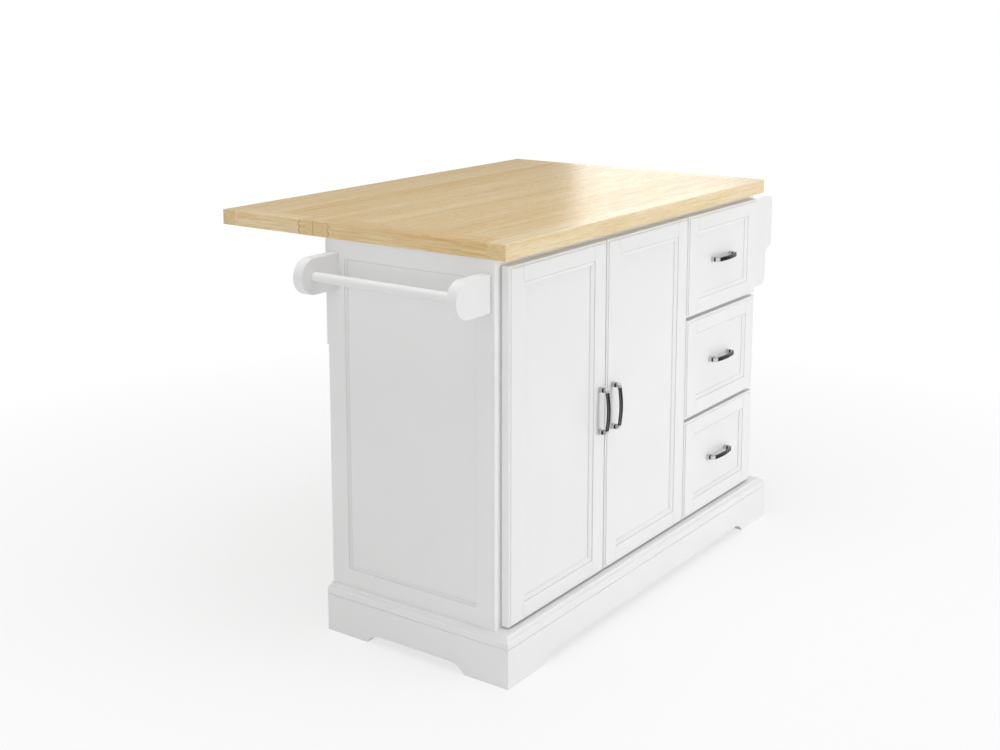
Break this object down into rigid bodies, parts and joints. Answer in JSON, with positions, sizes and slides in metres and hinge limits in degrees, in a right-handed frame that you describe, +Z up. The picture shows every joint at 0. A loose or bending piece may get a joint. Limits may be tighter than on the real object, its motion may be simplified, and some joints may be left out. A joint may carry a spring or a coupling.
{
  "type": "drop leaf kitchen island",
  "caption": "White framed kitchen island cabinet with doors, drawers, a jointed wood worktop with a hinged drop leaf, a towel bar on one end and a small rack on the other.",
  "frame": {"origin": "middle of the whole footprint, on the floor", "axes": "+X along the length towards the rack end, +Y from the doors to the leaf, +Z up"},
  "size_m": [1.401, 0.798, 0.914],
  "materials": {
    "white_paint": "satin white paint on wood",
    "worktop_wood": "clear satin lacquer",
    "drawer_wood": "plain sanded plywood",
    "pull_metal": "brushed dark nickel",
    "steel": "zinc plated"
  },
  "bodies": {
    "cabinet": {"left_side_frame": "white_paint", "left_side_panel": "white_paint", "right_side_frame": "white_paint", "right_side_panel": "white_paint", "back_panel": "white_paint", "cabinet_floor": "white_paint", "top_stretchers": "white_paint", "cupboard_divider": "white_paint", "shelf": "white_paint", "shelf_pins": "steel", "face_frame": "white_paint", "plinth_front": "white_paint", "plinth_left": "white_paint", "plinth_right": "white_paint", "plinth_back": "white_paint", "plinth_caps": "white_paint", "corner_blocks": "white_paint", "worktop_frame": "worktop_wood", "worktop_boards": "worktop_wood", "leaf_hinge_plates": "steel", "support_hinge_plates": "steel", "door_hinge_arms": "steel", "drawer_channels": "steel", "runner_blocks": "white_paint", "towel_brackets": "white_paint", "towel_bar": "white_paint", "rack_sides": "white_paint", "rack_shelves": "white_paint", "rack_rails": "white_paint"},
    "left_door": {"left_door_frame": "white_paint", "left_door_panel": "white_paint", "left_door_hinge_cups": "steel", "left_door_pull": "pull_metal"},
    "right_door": {"right_door_frame": "white_paint", "right_door_panel": "white_paint", "right_door_hinge_cups": "steel", "right_door_pull": "pull_metal"},
    "leaf": {"leaf_frame": "worktop_wood", "leaf_boards": "worktop_wood", "leaf_hinge_flaps": "steel"},
    "left_leaf_support": {"left_support": "white_paint", "left_support_hinge_flaps": "steel"},
    "right_leaf_support": {"right_support": "white_paint", "right_support_hinge_flaps": "steel"},
    "top_drawer": {"top_drawer_frame": "white_paint", "top_drawer_panel": "white_paint", "top_drawer_pull": "pull_metal", "top_drawer_box": "drawer_wood", "top_drawer_runners": "steel"},
    "middle_drawer": {"middle_drawer_frame": "white_paint", "middle_drawer_panel": "white_paint", "middle_drawer_pull": "pull_metal", "middle_drawer_box": "drawer_wood", "middle_drawer_runners": "steel"},
    "bottom_drawer": {"bottom_drawer_frame": "white_paint", "bottom_drawer_panel": "white_paint", "bottom_drawer_pull": "pull_metal", "bottom_drawer_box": "drawer_wood", "bottom_drawer_runners": "steel"}
  },
  "joints": [
    {"name": "left_door_hinge", "type": "hinge", "parent": "cabinet", "child": "left_door", "pos_m": [-0.561, -0.3688, 0.488], "axis": [0, 0, -1], "range_deg": [0, 105]},
    {"name": "right_door_hinge", "type": "hinge", "parent": "cabinet", "child": "right_door", "pos_m": [0.17767, -0.3688, 0.488], "axis": [0, 0, 1], "range_deg": [0, 90]},
    {"name": "leaf_hinge", "type": "hinge", "parent": "cabinet", "child": "leaf", "pos_m": [-0.005, 0.1265, 0.8767], "axis": [1, 0, 0], "range_deg": [-90, 0]},
    {"name": "left_support_hinge", "type": "hinge", "parent": "cabinet", "child": "left_leaf_support", "pos_m": [-0.5649, 0.0896, 0.76], "axis": [0, 0, 1], "range_deg": [0, 90]},
    {"name": "right_support_hinge", "type": "hinge", "parent": "cabinet", "child": "right_leaf_support", "pos_m": [0.5549, 0.0896, 0.76], "axis": [0, 0, -1], "range_deg": [0, 90]},
    {"name": "top_drawer_slide", "type": "slide", "parent": "cabinet", "child": "top_drawer", "axis": [0, -1, 0], "range_m": [0, 0.3]},
    {"name": "middle_drawer_slide", "type": "slide", "parent": "cabinet", "child": "middle_drawer", "axis": [0, -1, 0], "range_m": [0, 0.3]},
    {"name": "bottom_drawer_slide", "type": "slide", "parent": "cabinet", "child": "bottom_drawer", "axis": [0, -1, 0], "range_m": [0, 0.3]}
  ]
}
